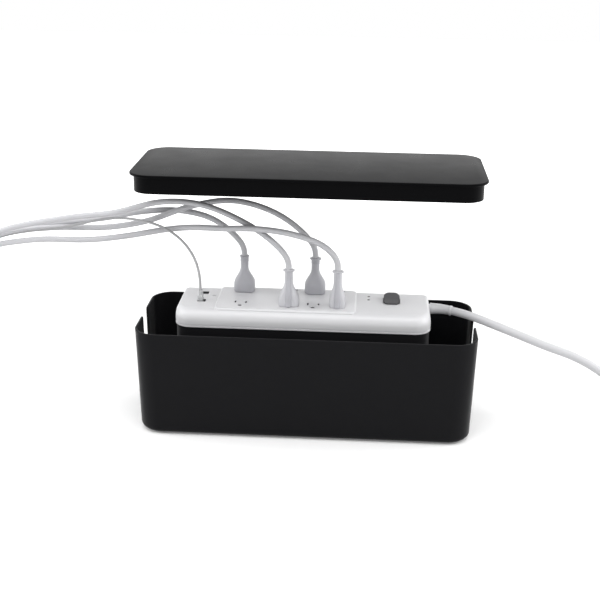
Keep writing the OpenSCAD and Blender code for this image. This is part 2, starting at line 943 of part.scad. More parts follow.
module mains_plug_pins() {
  color(brass)
    at_mains_plug()
      translate([0, -blade_y / 2, 0])
        pins_shape();
}

tub();
tub_feet();
lid();
strip_cover();
strip_base();
outlet_carrier();
hot_bus();
neutral_bus();
ground_bus();
surge_board();
surge_varistors();
thermal_fuse();
noise_choke();
noise_capacitor();
status_leds();
surge_lens();
ground_lens();
switch_body();
switch_rocker();
line_lead();
neutral_lead();
ground_lead();
mains_gland();
jack_block();
jack_contacts();
jack_board();
jack_screw();
cover_screws();
for (i = DEVICES) {
  plug(i);
  plug_pins(i);
  device_cord(i);
  device_coil(i);
  device_connector(i);
}
phone_plug();
phone_cord();
phone_coil();
phone_end_plug();
mains_cord();
mains_coil();
mains_plug();
mains_plug_pins();
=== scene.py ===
import math

import bmesh
import bpy
from mathutils import Matrix, Vector


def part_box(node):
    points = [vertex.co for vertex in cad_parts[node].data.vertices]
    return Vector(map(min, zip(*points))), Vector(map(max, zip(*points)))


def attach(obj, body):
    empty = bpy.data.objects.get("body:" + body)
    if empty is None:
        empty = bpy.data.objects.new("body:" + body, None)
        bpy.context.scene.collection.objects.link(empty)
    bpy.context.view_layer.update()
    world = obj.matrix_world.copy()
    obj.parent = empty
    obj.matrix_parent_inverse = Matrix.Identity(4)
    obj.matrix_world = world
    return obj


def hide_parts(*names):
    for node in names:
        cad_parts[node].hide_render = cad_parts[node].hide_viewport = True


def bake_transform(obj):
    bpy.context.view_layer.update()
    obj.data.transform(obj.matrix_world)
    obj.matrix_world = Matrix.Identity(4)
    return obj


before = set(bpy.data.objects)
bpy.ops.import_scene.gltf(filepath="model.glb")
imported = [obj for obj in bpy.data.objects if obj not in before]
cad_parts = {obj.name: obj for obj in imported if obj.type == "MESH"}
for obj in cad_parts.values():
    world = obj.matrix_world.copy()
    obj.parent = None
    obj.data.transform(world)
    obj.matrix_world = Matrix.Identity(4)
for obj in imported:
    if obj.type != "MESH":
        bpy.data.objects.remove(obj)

scene = bpy.context.scene
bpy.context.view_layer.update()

# Sizes that several pieces share, in metres
TUB = (0.400, 0.156, 0.130)
TUB_CORNER = 0.027
TUB_WALL = 0.0025
END_LEAN, SIDE_LEAN = 0.003, 0.0075
TOE = 0.008
SLOT_WIDTH, SLOT_DEPTH, SLOT_CORNER = 0.029, 0.062, 0.004
LID_LIFT = 0.184
CORD, PHONE_CORD, MAINS_CORD = 0.007, 0.003, 0.010
WELD = 1e-6                 # points nearer than this become one


# ---------------------------------------------------------------- camera

def make_camera(yaw=3.41, pitch=19.40, roll=0.77, distance=1.43141, aim=(-0.00789, 0.14293), field=29.204):
    """Looks at the tub from the front and a little above and to the right of its middle."""
    yaw, pitch, roll = (math.radians(angle) for angle in (yaw, pitch, roll))
    back = Vector((math.sin(yaw) * math.cos(pitch), -math.cos(yaw) * math.cos(pitch), math.sin(pitch)))
    level = Vector((0, 0, 1)).cross(back).normalized()
    upright = back.cross(level)
    right = level * math.cos(roll) + upright * math.sin(roll)
    up = upright * math.cos(roll) - level * math.sin(roll)
    data = bpy.data.cameras.new("camera")
    data.sensor_width = 36
    data.lens = data.sensor_width / (2 * math.tan(math.radians(field / 2)))
    data.clip_start, data.clip_end = 0.05, 20
    camera = bpy.data.objects.new("camera", data)
    scene.collection.objects.link(camera)
    turn = Matrix((right, up, back)).transposed().to_4x4()
    camera.matrix_world = Matrix.Translation(back * distance + right * aim[0] + up * aim[1]) @ turn
    scene.camera = camera


make_camera()


# ---------------------------------------------------------------- finishes

class Value:
    """A number that varies over a surface. Sums, products and comparisons of it add Math nodes."""

    def __init__(self, nodes, socket):
        self.nodes, self.socket = nodes, socket

    def _math(self, operation, *terms):
        return self.nodes.node("ShaderNodeMath", {"operation": operation}, dict(enumerate(terms)))

    def __add__(self, other):
        return self._math("ADD", self, other)

    def __sub__(self, other):
        return self._math("SUBTRACT", self, other)

    def __rsub__(self, other):
        return self._math("SUBTRACT", other, self)

    def __mul__(self, other):
        return self._math("MULTIPLY", self, other)

    def __lt__(self, other):
        return self._math("LESS_THAN", self, other)

    def __gt__(self, other):
        return self._math("GREATER_THAN", self, other)

    __radd__ = __add__
    __rmul__ = __mul__


class Nodes:
    """The nodes of one material or of the world."""

    def __init__(self, tree):
        self.tree = tree

    def feed(self, socket, value):
        """Links a socket to a Value, or sets it to a constant."""
        if isinstance(value, Value):
            self.tree.links.new(value.socket, socket)
        else:
            socket.default_value = value

    def node(self, kind, settings=None, sockets=None, out=0):
        """Adds one node: its settings first, then the constants and links of its sockets."""
        made = self.tree.nodes.new(kind)
        for key, value in (settings or {}).items():
            setattr(made, key, value)
        for socket, value in (sockets or {}).items():
            self.feed(made.inputs[socket], value)
        return Value(self, made.outputs[out])

    def seen_rays(self):
        """1 for a ray from the camera, or from a gloss or a clear piece, and 0 for one that only lights."""
        seen, mirrored, through = (self.node("ShaderNodeLightPath", out=f"Is {ray} Ray")
                                   for ray in ("Camera", "Glossy", "Transmission"))
        return seen + mirrored + through


class Finish(Nodes):
    """A material with one principled shader and the nodes that vary it over the surface."""

    # The Mix node's sockets for colours: factor, first, second and result
    FACTOR, FIRST, SECOND, RESULT = 0, 6, 7, 2

    def __init__(self, name, colour, roughness, sockets=None):
        self.material = bpy.data.materials.new(name)
        self.material.use_nodes = True
        super().__init__(self.material.node_tree)
        self.shader = self.tree.nodes["Principled BSDF"]
        for socket, value in {"Base Color": (*colour, 1), "Roughness": roughness, **(sockets or {})}.items():
            self.set(socket, value)
        self.place = self.node("ShaderNodeTexCoord", out="Object")

    def set(self, socket, value):
        self.feed(self.shader.inputs[socket], value)

    def noise(self, grain, detail, stretch=(1, 1, 1)):
        """Noise from 0 to 1 whose blotches are about grain metres across."""
        place = self.node("ShaderNodeMapping", sockets={"Vector": self.place, "Scale": stretch})
        return self.node("ShaderNodeTexNoise",
                         sockets={"Vector": place, "Scale": 1 / grain, "Detail": detail})

    def mix(self, factor, first, second):
        """Goes from the first colour to the second as the factor goes from 0 to 1."""
        return self.node("ShaderNodeMix", {"data_type": "RGBA"},
                         {self.FACTOR: factor, self.FIRST: first, self.SECOND: second}, self.RESULT)

    def bump(self, height, depth):
        self.set("Normal", self.node("ShaderNodeBump",
                                     sockets={"Height": height, "Distance": depth, "Strength": 1.0}))


# How large the blotches of a pattern are, and how far each pattern swings the roughness
CLOUD_SIZE, TARNISH_SIZE, LINE_SIZE = 0.035, 0.006, 0.0005
CLOUD_SWING, SKIN_SWING = 0.12, 0.06
LINE_SWING, TARNISH_SWING = 0.12, 0.10
DULLED, LINE_DEPTH = 0.72, 0.00001


def moulded(name, colour, roughness, grain=0.0006, depth=0.00002, mottle=0.05, sockets=None):
    """Plastic out of a mould: a fine skin, a little uneven in tone and gloss."""
    finish = Finish(name, colour, roughness, sockets)
    clouds = finish.noise(CLOUD_SIZE, 3)
    skin = finish.noise(grain, 1)
    shade = tuple(c * (1 - mottle) for c in colour)
    finish.set("Base Color", finish.mix(clouds, (*shade, 1), (*colour, 1)))
    least = roughness - (CLOUD_SWING + SKIN_SWING) / 2
    finish.set("Roughness", clouds * CLOUD_SWING + skin * SKIN_SWING + least)
    finish.bump(skin, depth)
    return finish


def metal(name, colour, roughness, along=(1, 1, 1)):
    """Stamped or turned metal with faint drawn lines and tarnish."""
    finish = Finish(name, colour, roughness, {"Metallic": 1.0})
    lines = finish.noise(LINE_SIZE, 2, along)
    tarnish = finish.noise(TARNISH_SIZE, 3)
    dull = tuple(c * DULLED for c in colour)
    finish.set("Base Color", finish.mix(tarnish, (*dull, 1), (*colour, 1)))
    least = roughness - (LINE_SWING + TARNISH_SWING) / 2
    finish.set("Roughness", lines * LINE_SWING + tarnish * TARNISH_SWING + least)
    finish.bump(lines, LINE_DEPTH)
    return finish


SHELL = moulded("tub_black", (0.0085, 0.0085, 0.0095), 0.36, grain=0.0007, depth=0.00003, mottle=0.12,
                sockets={"Specular IOR Level": 0.05, "Sheen Weight": 0.15, "Sheen Roughness": 0.24})
LID = moulded("lid_black", (0.0012, 0.0012, 0.0016), 0.30, grain=0.0007, depth=0.00002, mottle=0.12,
              sockets={"Specular IOR Level": 0.035, "Sheen Weight": 0.28, "Sheen Roughness": 0.15})
RUBBER = moulded("foot_rubber", (0.03, 0.03, 0.03), 0.75, grain=0.0005, depth=0.00005)
# Its base colour also carries painted shade on the walls of the strip cover's cuts
WHITE = moulded("strip_white", (0.69, 0.69, 0.705), 0.36, grain=0.0009, depth=0.000012, mottle=0.03)
HOUSING = moulded("base_black", (0.007, 0.007, 0.008), 0.5, depth=0.00005,
                  sockets={"Specular IOR Level": 0.2})
JACK = moulded("jack_grey", (0.10, 0.10, 0.10), 0.45, depth=0.00003)
NYLON = moulded("nylon", (0.62, 0.58, 0.45), 0.5, mottle=0.1)
# The outlet carrier, nylon in itself, is painted near-black: painted shade seen through the outlet slots
SHADED_CARRIER = moulded("carrier_painted_shade", (0.06, 0.06, 0.06), 0.6, mottle=0.15)
BRASS = metal("contact_brass", (0.72, 0.53, 0.23), 0.35, (1, 8, 1))
GOLD = metal("contact_gold", (0.85, 0.62, 0.2), 0.22)
BOARD = moulded("board", (0.03, 0.16, 0.07), 0.45, grain=0.002, depth=0.00006, mottle=0.3)
VARISTOR = moulded("varistor_blue", (0.05, 0.13, 0.45), 0.35, grain=0.0012, depth=0.00008, mottle=0.2)
WINDING = metal("copper_winding", (0.6, 0.25, 0.12), 0.3, (1, 1, 12))
CAPACITOR = moulded("capacitor_yellow", (0.72, 0.56, 0.1), 0.4, mottle=0.12)
LAMP = moulded("lens", (0.06, 0.07, 0.065), 0.2, mottle=0.2, sockets={"Transmission Weight": 0.4})
ROCKER = moulded("rocker_grey", (0.051, 0.051, 0.055), 0.45, grain=0.0008, depth=0.00008, mottle=0.12)
LINE = moulded("line_sleeve", (0.02, 0.02, 0.02), 0.4)
NEUTRAL = moulded("neutral_sleeve", (0.75, 0.75, 0.74), 0.4)
GROUND = moulded("ground_sleeve", (0.05, 0.28, 0.08), 0.4)
STEEL = metal("screw_steel", (0.58, 0.58, 0.6), 0.3)
PLUG = moulded("plug_grey", (0.44, 0.44, 0.47), 0.42, grain=0.0007, depth=0.00003, mottle=0.06)
PALE_PLUG = moulded("plug_pale", (0.54, 0.54, 0.565), 0.40, grain=0.0007, depth=0.00003, mottle=0.05)
BLADE = metal("plug_blades", (0.78, 0.72, 0.56), 0.25, (1, 1, 10))
SHEATH = moulded("cord_grey", (0.52, 0.52, 0.54), 0.4, grain=0.0012, depth=0.00004, mottle=0.07)
THIN = moulded("phone_white", (0.42, 0.42, 0.43), 0.45, grain=0.0009, depth=0.00003, mottle=0.08)
CLEAR = moulded("clear_plug", (0.72, 0.73, 0.74), 0.12, mottle=0.08,
                sockets={"Transmission Weight": 0.55, "IOR": 1.49})
MAINS = moulded("mains_white", (0.53, 0.53, 0.545), 0.38, grain=0.0013, depth=0.00005, mottle=0.06)
STRAP = moulded("cord_tie", (0.03, 0.03, 0.033), 0.8, grain=0.0009, depth=0.0002, mottle=0.3)

# The CAD nodes that stay, by the finish that each is given
CARRIED = {
    RUBBER: ["tub_feet"],
    HOUSING: ["strip_base", "switch_body"],
    JACK: ["jack_block"],
    SHADED_CARRIER: ["outlet_carrier"],
    NYLON: ["thermal_fuse"],
    BRASS: ["hot_bus", "neutral_bus", "ground_bus"],
    GOLD: ["jack_contacts"],
    BOARD: ["surge_board", "jack_board"],
    VARISTOR: ["surge_varistors"],
    WINDING: ["noise_choke"],
    CAPACITOR: ["noise_capacitor"],
    LAMP: ["status_leds", "surge_lens", "ground_lens"],
    WHITE: ["mains_gland"],
    LINE: ["line_lead"],
    NEUTRAL: ["neutral_lead"],
    GROUND: ["ground_lead"],
    STEEL: ["jack_screw", "cover_screws"],
    BLADE: ["plug_pins_1", "plug_pins_2", "plug_pins_3", "plug_pins_4", "mains_plug_pins"],
}


def finish_carried_nodes():
    """Gives each CAD node that stays its own finish."""
    for finish, nodes in CARRIED.items():
        for node in nodes:
            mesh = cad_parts[node].data
            mesh.materials.clear()
            mesh.materials.append(finish.material)


finish_carried_nodes()


# ---------------------------------------------------------------- mesh tools

def outline(length, width, radius, steps, back=None):
    """Points round a rectangle with round corners, anticlockwise; its back corners may be tighter."""
    points = []
    for corner, (x, y) in enumerate(((1, 1), (-1, 1), (-1, -1), (1, -1))):
        r = back if back and y > 0 else radius
        for k in range(steps + 1):
            angle = math.radians(90 * (corner + k / steps))
            middle = Vector((x * (length / 2 - r), y * (width / 2 - r)))
            points.append(middle + r * Vector((math.cos(angle), math.sin(angle))))
    return points


def level(points, z, at=(0, 0)):
    """A plan outline raised to a height."""
    return [Vector((point.x + at[0], point.y + at[1], z)) for point in points]


def loft(bm, rings, caps=(True, True)):
    """Skins rings of points, all of one count, and closes its ends."""
    loops = []
    for ring in rings:
        verts = bmesh.ops.create_circle(bm, segments=len(ring), radius=1)["verts"]
        for vert, point in zip(verts, ring):
            vert.co = point
        loops.append(list(dict.fromkeys(edge for vert in verts for edge in vert.link_edges)))
    for low, high in zip(loops, loops[1:]):
        bmesh.ops.bridge_loops(bm, edges=low + high)
    for wanted, loop in zip(caps, (loops[0], loops[-1])):
        if wanted:
            bmesh.ops.edgeloop_fill(bm, edges=loop)
    return bm


def quarter_turn(steps):
    """The angles of a quarter turn, in even steps."""
    return [math.radians(90 * k / steps) for k in range(steps + 1)]


def block(bm, size, middle, corner, edge=0.0):
    """A box with its upright edges, and its top and bottom edges, rounded."""
    quarter = quarter_turn(3) if edge else [math.radians(90)]
    rings = []
    for end, turns in ((-1, quarter), (1, quarter[::-1])):
        for a in turns:
            inset = edge * (1 - math.sin(a))
            ring = outline(size[0] - 2 * inset, size[1] - 2 * inset, max(corner - inset, 1e-5), 5)
            height = middle[2] + end * (size[2] / 2 - edge * (1 - math.cos(a)))
            rings.append(level(ring, height, middle[:2]))
    return loft(bm, rings)


def rod(bm, start, end, radius, sides=24):
    """A round bar between two points."""
    start, end = Vector(start), Vector(end)
    turn = (end - start).to_track_quat("Z", "Y").to_matrix().to_4x4()
    bmesh.ops.create_cone(bm, cap_ends=True, segments=sides, radius1=radius, radius2=radius,
                          depth=(end - start).length, matrix=Matrix.Translation((start + end) / 2) @ turn)


def as_object(name, bm):
    mesh = bpy.data.meshes.new(name)
    bm.to_mesh(mesh)
    bm.free()
    made = bpy.data.objects.new(name, mesh)
    scene.collection.objects.link(made)
    return made


def combined(bm, tool, operation):
    """The solid that a Boolean of two closed meshes gives, as a new mesh under construction."""
    for solid in (bm, tool):
        bmesh.ops.remove_doubles(solid, verts=solid.verts, dist=WELD)
        bmesh.ops.recalc_face_normals(solid, faces=solid.faces)
    base, other = as_object("base", bm), as_object("tool", tool)
    modifier = base.modifiers.new("combine", "BOOLEAN")
    modifier.operation, modifier.solver, modifier.object = operation, "MANIFOLD", other
    bpy.context.view_layer.update()
    result = bmesh.new()
    result.from_mesh(base.evaluated_get(bpy.context.evaluated_depsgraph_get()).to_mesh())
    for done in (base, other):
        bpy.data.objects.remove(done)
    return result


def finished(name, bm, finish, smooth):
    """A named object with its finish, smooth but for edges sharper than an angle in degrees."""
    made = as_object(name, bm)
    made.data.materials.append(finish.material)
    made.data.polygons.foreach_set("use_smooth", [True] * len(made.data.polygons))
    made.data.set_sharp_from_angle(angle=math.radians(smooth))
    return made


def piece(name, bm, finish, body, replaces=(), smooth=40, edge=0.0):
    """Turns a finished mesh into one named piece that moves with a body."""
    bmesh.ops.remove_doubles(bm, verts=bm.verts, dist=WELD)
    bmesh.ops.recalc_face_normals(bm, faces=bm.faces)
    made = finished(name, bm, finish, smooth)
    if edge:
        rounded = made.modifiers.new("edges", "BEVEL")
        rounded.width, rounded.segments, rounded.limit_method = edge, 2, "ANGLE"
        rounded.angle_limit = math.radians(50)
    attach(made, body)
    if replaces:
        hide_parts(*replaces)
    return made


# ---------------------------------------------------------------- cords

# Each route's points, and beside them how far each point sinks when the box is closed
CORD_ROUTES = [
    [(-0.0795, 0.028, 0.1965, 0.105), (-0.0795, 0.028, 0.206, 0.105), (-0.096, 0.026, 0.227, 0.114),
     (-0.121, 0.024, 0.244, 0.127), (-0.160, 0.0155, 0.254, 0.145), (-0.203, 0.0105, 0.252, 0.154),
     (-0.241, 0.010, 0.244, 0.158), (-0.288, 0.0105, 0.237, 0.168), (-0.364, 0.018, 0.221, 0.180),
     (-0.404, 0.016, 0.198, 0.168), (-0.434, 0.011, 0.148, 0.126), (-0.449, 0.008, 0.078, 0.060),
     (-0.463, 0.007, 0.034, 0.018), (-0.487, 0.0065, 0.011, 0)],
    [(-0.022, -0.021, 0.1965, 0.105), (-0.022, -0.021, 0.206, 0.105), (-0.039, -0.020, 0.227, 0.116),
     (-0.076, -0.017, 0.251, 0.137), (-0.127, -0.011, 0.269, 0.156), (-0.174, -0.009, 0.270, 0.166),
     (-0.228, -0.011, 0.256, 0.164), (-0.280, -0.012, 0.249, 0.172), (-0.366, -0.014, 0.230, 0.182),
     (-0.428, -0.014, 0.196, 0.166), (-0.478, -0.011, 0.140, 0.122), (-0.525, -0.008, 0.058, 0.044),
     (-0.552, -0.0065, 0.024, 0.012), (-0.586, -0.0065, 0.0105, 0)],
    [(0.00675, 0.028, 0.1965, 0.105), (0.00675, 0.028, 0.2065, 0.105), (-0.007, 0.0265, 0.226, 0.110),
     (-0.045, 0.022, 0.254, 0.139), (-0.094, 0.015, 0.268, 0.155), (-0.142, 0.008, 0.261, 0.156),
     (-0.193, 0.003, 0.243, 0.151), (-0.240, 0.003, 0.234, 0.153), (-0.309, 0.004, 0.231, 0.168),
     (-0.373, 0.008, 0.219, 0.178), (-0.446, 0.008, 0.176, 0.152), (-0.510, 0.007, 0.084, 0.068),
     (-0.552, 0.0065, 0.024, 0.012), (-0.586, 0.0065, 0.0105, 0)],
    [(0.0355, -0.021, 0.1965, 0.105), (0.0355, -0.021, 0.2065, 0.105), (0.0205, -0.024, 0.2255, 0.111),
     (-0.018, -0.028, 0.241, 0.127), (-0.064, -0.027, 0.246, 0.136), (-0.096, -0.020, 0.243, 0.142),
     (-0.136, -0.008, 0.240, 0.147), (-0.168, 0.002, 0.234, 0.147), (-0.216, 0, 0.225, 0.148),
     (-0.261, -0.008, 0.221, 0.154), (-0.328, -0.012, 0.220, 0.172), (-0.394, -0.012, 0.203, 0.172),
     (-0.426, -0.010, 0.147, 0.124), (-0.444, -0.008, 0.084, 0.064), (-0.461, -0.007, 0.035, 0.018),
     (-0.487, -0.0065, 0.011, 0)],
]
PHONE_ROUTE = [
    (-0.1287, -0.0085, 0.1635, 0.105), (-0.1287, -0.0085, 0.174, 0.105), (-0.1315, -0.0086, 0.192, 0.115),
    (-0.139, -0.0088, 0.210, 0.128), (-0.154, -0.009, 0.228, 0.142), (-0.178, -0.009, 0.242, 0.149),
    (-0.229, -0.005, 0.248, 0.152), (-0.285, -0.005, 0.236, 0.158), (-0.370, -0.004, 0.220, 0.178),
    (-0.430, -0.004, 0.188, 0.164), (-0.480, -0.005, 0.108, 0.094), (-0.514, -0.012, 0.030, 0.022),
    (-0.538, -0.016, 0.0045, 0)]
MAINS_ROUTE = [
    (0.147, 0.020, 0.139, 0.105), (0.160, 0.020, 0.139, 0.105), (0.180, 0.012, 0.138, 0.080),
    (0.198, 0.006, 0.135, 0.055), (0.222, 0, 0.128, 0.045), (0.253, 0, 0.116, 0.040),
    (0.286, 0, 0.103, 0.037), (0.320, 0, 0.091, 0.035), (0.346, -0.002, 0.078, 0.031),
    (0.372, -0.006, 0.060, 0.025), (0.398, -0.011, 0.038, 0.014), (0.440, -0.0145, 0.015, 0)]

# Where each coil lies, and which way round it goes as the cord runs to its far end
COILS = [((-0.490, 0.048), -1), ((-0.586, -0.048), 1), ((-0.586, 0.048), -1), ((-0.490, -0.048), 1)]
PHONE_COIL_AT, MAINS_COIL_AT = (-0.538, 0), (0.440, 0.040)
# The middle of a coil's outer turn, and how far in each next turn lies
CORD_COIL_R, PHONE_COIL_R, MAINS_COIL_R = 0.0415, 0.016, 0.0545
CORD_PITCH, PHONE_PITCH, MAINS_PITCH = 0.0071, 0.00305, 0.0101
CORD_LENGTHS = (1.55, 1.65, 1.7, 1.65)
CONNECTOR_SIDE, CONNECTOR_HEIGHT = 0.045, 0.008     # its axis, from the coil's middle and from the floor
WALL_PLUG_HEIGHT = 0.012
RING_STEP = 0.0045
POINTS_A_TURN = 24


def eased(share):
    """Goes from 0 to 1 with a soft start and a soft end."""
    return share * share * (3 - 2 * share)


def coiled(middle, turns, way, entry, radius, pitch, thick, end_radius, end_height):
    """A flat coil: it winds inwards on the upper layer, drops, and winds out again underneath."""
    layer, last = 0.44 * turns, 0.22
    points = []
    for k in range(1, round(turns * POINTS_A_TURN) + 1):
        turn = k / POINTS_A_TURN
        inwards = min(turn, turns - turn, layer)
        drop = eased(min(max((turn - layer) / (turns - 2 * layer), 0), 1))
        leave = eased(max(0, 1 - (turns - turn) / last))
        r = radius - pitch * inwards
        r += (end_radius - radius) * leave
        z = thick * (1.5 - drop) + (end_height - thick * 0.5) * leave
        angle = math.radians(entry) + way * 2 * math.pi * turn
        points.append((middle[0] + r * math.cos(angle), middle[1] + r * math.sin(angle), z, 0))
    return points


def curve_through(points, parts=8):
    """A smooth line through the points, which may carry more than three numbers each."""
    points = [Vector(point) for point in points]
    ends = [points[0] * 2 - points[1], *points, points[-1] * 2 - points[-2]]
    line = []
    for a, b, c, d in zip(ends, ends[1:], ends[2:], ends[3:]):
        t1, t2, t3 = (max((q - p).length, 1e-6) ** 0.5 for p, q in ((a, b), (b, c), (c, d)))
        leave = ((b - a) / t1 - (c - a) / (t1 + t2) + (c - b) / t2) * t2
        arrive = ((c - b) / t2 - (d - b) / (t2 + t3) + (d - c) / t3) * t2
        for k in range(parts):
            t = k / parts
            line.append(b * (2 * t**3 - 3 * t**2 + 1) + leave * (t**3 - 2 * t**2 + t)
                        + c * (3 * t**2 - 2 * t**3) + arrive * (t**3 - t**2))
    return line + [points[-1]]


def evened(line, step):
    """The same line with its points an even step apart."""
    spots, length = [0.0], 0.0
    for a, b in zip(line, line[1:]):
        length += (b.xyz - a.xyz).length
        spots.append(length)
    count = max(2, round(length / step))
    made, k = [], 0
    for i in range(count + 1):
        want = length * i / count
        while k < len(line) - 2 and spots[k + 1] < want:
            k += 1
        share = (want - spots[k]) / max(spots[k + 1] - spots[k], 1e-9)
        made.append(line[k].lerp(line[k + 1], min(max(share, 0), 1)))
    return made


def relaxed(line, times):
    """Takes small kinks out of a line, as a sheath's own stiffness does."""
    for _ in range(times):
        line = [line[0], *((a + b * 2 + c) / 4 for a, b, c in zip(line, line[1:], line[2:])), line[-1]]
    return line


def tube_rings(line, radii, sides):
    """Rings square to a line, none turned against the next."""
    rings, normal = [], None
    for k, point in enumerate(line):
        heading = (line[min(k + 1, len(line) - 1)].xyz - line[max(k - 1, 0)].xyz).normalized()
        normal = heading.orthogonal() if normal is None else normal - heading * normal.dot(heading)
        normal.normalize()
        side = heading.cross(normal)
        rings.append([point.xyz + radii[k] * (normal * math.cos(a) + side * math.sin(a))
                      for a in (2 * math.pi * j / sides for j in range(sides))])
    return rings


def sinks(made, line, sides):
    """Bakes a cord's placement into its mesh, and works out for each ring how much of the lid's drop it
    would follow; nothing uses these weights.
    """
    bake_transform(made)
    weights = [1 - point[3] / LID_LIFT for point in line for _ in range(sides)]


def soft_tube(name, line, radii, sides, finish, smooth):
    """A tube along a line, with its placement baked into its mesh."""
    bm = loft(bmesh.new(), tube_rings(line, radii, sides))
    bmesh.ops.recalc_face_normals(bm, faces=bm.faces)
    made = finished(name, bm, finish, smooth)
    sinks(made, line, sides)
    return made


def cord_piece(name, route, coil, diameter, finish, replaces, sides=16):
    """One cord from its plug to its far end, and the line that it follows."""
    line = relaxed(evened(curve_through(route + coil), RING_STEP), 4)
    made = soft_tube(name, line, [diameter / 2] * len(line), sides, finish, 60)
    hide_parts(*replaces)
    return made, line


def mains_relief(line):
    """The tapered strain relief round the mains cord's first stretch, with a bead at its mouth."""
    reach, start, end, bead = 0.030, 0.0068, 0.0054, 0.0006
    part = [point for k, point in enumerate(line) if k * RING_STEP <= reach]
    fine = evened(curve_through(part, 4), 0.0008)
    shares = [k / (len(fine) - 1) for k in range(len(fine))]
    radii = [start + (end - start) * share ** 0.8 + (bead if 0.90 < share < 0.97 else 0) for share in shares]
    return soft_tube("mains_relief", fine, radii, 24, MAINS, 38)


def tie(name, middle, angle, outer, inner, height):
    """A strap round the turns of a coil, from inside its inner turn to outside its outer one."""
    width, thick = 0.009, 0.0009
    across = Vector((math.cos(angle), math.sin(angle), 0))
    along = Vector((-math.sin(angle), math.cos(angle), 0))
    at = Vector((*middle, 0)) + (outer + inner) / 2 * across
    rings = []
    for side, grow in ((-1, 0), (-1, thick), (1, thick), (1, 0)):
        flat = outline(outer - inner + 2 * grow, height - 2 * thick + 2 * grow, height * 0.35 + grow, 6)
        rings.append([at + across * p.x + Vector((0, 0, p.y + height / 2)) + along * side * width / 2
                      for p in flat])
    bm = loft(bmesh.new(), rings + rings[:1], caps=(False, False))
    return piece(name, bm, STRAP, "tub", edge=0.0002)


def ribs(across, count, start, pitch, size, growth, band, groove):
    """The rings of a strain relief's ribs: bands of one size, then the next, with grooves between them."""
    rings, step = [], 0.0002
    for _ in range(count):
        waist = size - groove
        for reach, wide, tighter in ((0, size, 0.0002), (band, size, 0.0002), (band + step, waist, 0.0003),
                                     (pitch - step, waist, 0.0003)):
            rings.append(across(start + reach, wide, wide, wide / 2 - tighter))
        start, size = start + pitch, size + growth
    return rings


def far_connector(i, middle, way):
    """The appliance connector at a cord's far end: ribbed boot, body and the sockets in its face."""
    x, y, z = middle[0] + 0.019, middle[1] - way * CONNECTOR_SIDE, CONNECTOR_HEIGHT

    def across(reach, width, height, corner):
        return [Vector((x + reach, y + p.x, z + p.y)) for p in outline(width, height, corner, 5)]

    boot = [across(0, 0.0078, 0.0078, 0.0038),
            *ribs(across, 5, start=0.0005, pitch=0.0026, size=0.0084, growth=0.0008, band=0.0016,
                  groove=0.0014)]
    body = [across(*ring) for ring in (
        (0.0137, 0.014, 0.012, 0.004), (0.0155, 0.021, 0.0145, 0.004), (0.018, 0.0235, 0.0158, 0.004),
        (0.021, 0.024, 0.016, 0.0035), (0.043, 0.024, 0.016, 0.0035), (0.044, 0.0232, 0.0152, 0.0032))]
    bm = loft(bmesh.new(), boot + body)
    sockets = bmesh.new()
    for side in (-0.005, 0.005):
        block(sockets, (0.012, 0.0022, 0.005), (x + 0.041, y + side, z), 0.0004)
    bm = combined(bm, sockets, "DIFFERENCE")
    return piece(f"connector_{i}", bm, SHEATH, "tub", [f"device_connector_{i}"], edge=0.0003)


def device_cords():
    """The four appliance cords with their coils, ties and connectors."""
    for i, (route, (middle, way)) in enumerate(zip(CORD_ROUTES, COILS), 1):
        entry = -90 if middle[1] > 0 else 90
        coil = coiled(middle, 4.5, way, entry, CORD_COIL_R, CORD_PITCH, CORD, CONNECTOR_SIDE,
                      CONNECTOR_HEIGHT)
        tail = [(middle[0] + reach, middle[1] - way * CONNECTOR_SIDE, CONNECTOR_HEIGHT, 0)
                for reach in (0.012, 0.022)]
        made, line = cord_piece(f"cord_{i}", route, coil + tail, CORD, SHEATH,
                                [f"device_cord_{i}", f"device_coil_{i}"])
        end = far_connector(i, middle, way)
        band = tie(f"cord_tie_{i}", middle, math.pi if i in (2, 3) else 0, 0.0452, 0.0236, 2 * CORD + 0.0008)
        CORD_LENGTHS[i - 1]
        [point.xyz for point in line]
        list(PLUGS[i - 1])


def phone_cord():
    """The thin cord from the telephone jack, with the plug at its far end."""
    coil = coiled(PHONE_COIL_AT, 5.25, -1, -90, PHONE_COIL_R, PHONE_PITCH, PHONE_CORD, PHONE_COIL_R,
                  PHONE_CORD / 2)
    low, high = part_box("phone_end_plug")
    middle = (low + high) / 2
    tail = [(low.x - 0.0085, 0.011, 0.002, 0), (low.x - 0.0045, middle.y - 0.003, 0.0028, 0),
            (low.x + 0.003, middle.y, middle.z, 0)]
    made, line = cord_piece("thin_cord", PHONE_ROUTE, coil + tail, PHONE_CORD, THIN,
                            ["phone_cord", "phone_coil"], sides=10)
    band = tie("thin_cord_tie", PHONE_COIL_AT, 0, 0.0184, 0.0068, 2 * PHONE_CORD + 0.0006)
    [point.xyz for point in line]


def mains_cord():
    """The thick cord from the strip's end to its wall plug."""
    coil = coiled(MAINS_COIL_AT, 3.75, 1, -90, MAINS_COIL_R, MAINS_PITCH, MAINS_CORD, 0.0560,
                  WALL_PLUG_HEIGHT)
    low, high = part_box("mains_plug")
    x = (low.x + high.x) / 2
    tail = [(x + side, y, WALL_PLUG_HEIGHT, 0) for side, y in ((-0.0010, 0.022), (0, 0.010), (0, 0.001))]
    made, line = cord_piece("mains_lead", MAINS_ROUTE, coil + tail, MAINS_CORD, MAINS,
                            ["mains_cord", "mains_coil"], sides=20)
    band = tie("mains_tie", MAINS_COIL_AT, 0, 0.0598, 0.0336, 2 * MAINS_CORD + 0.0008)
    relief = mains_relief(line)
    [point.xyz for point in line]
    wall_plug()


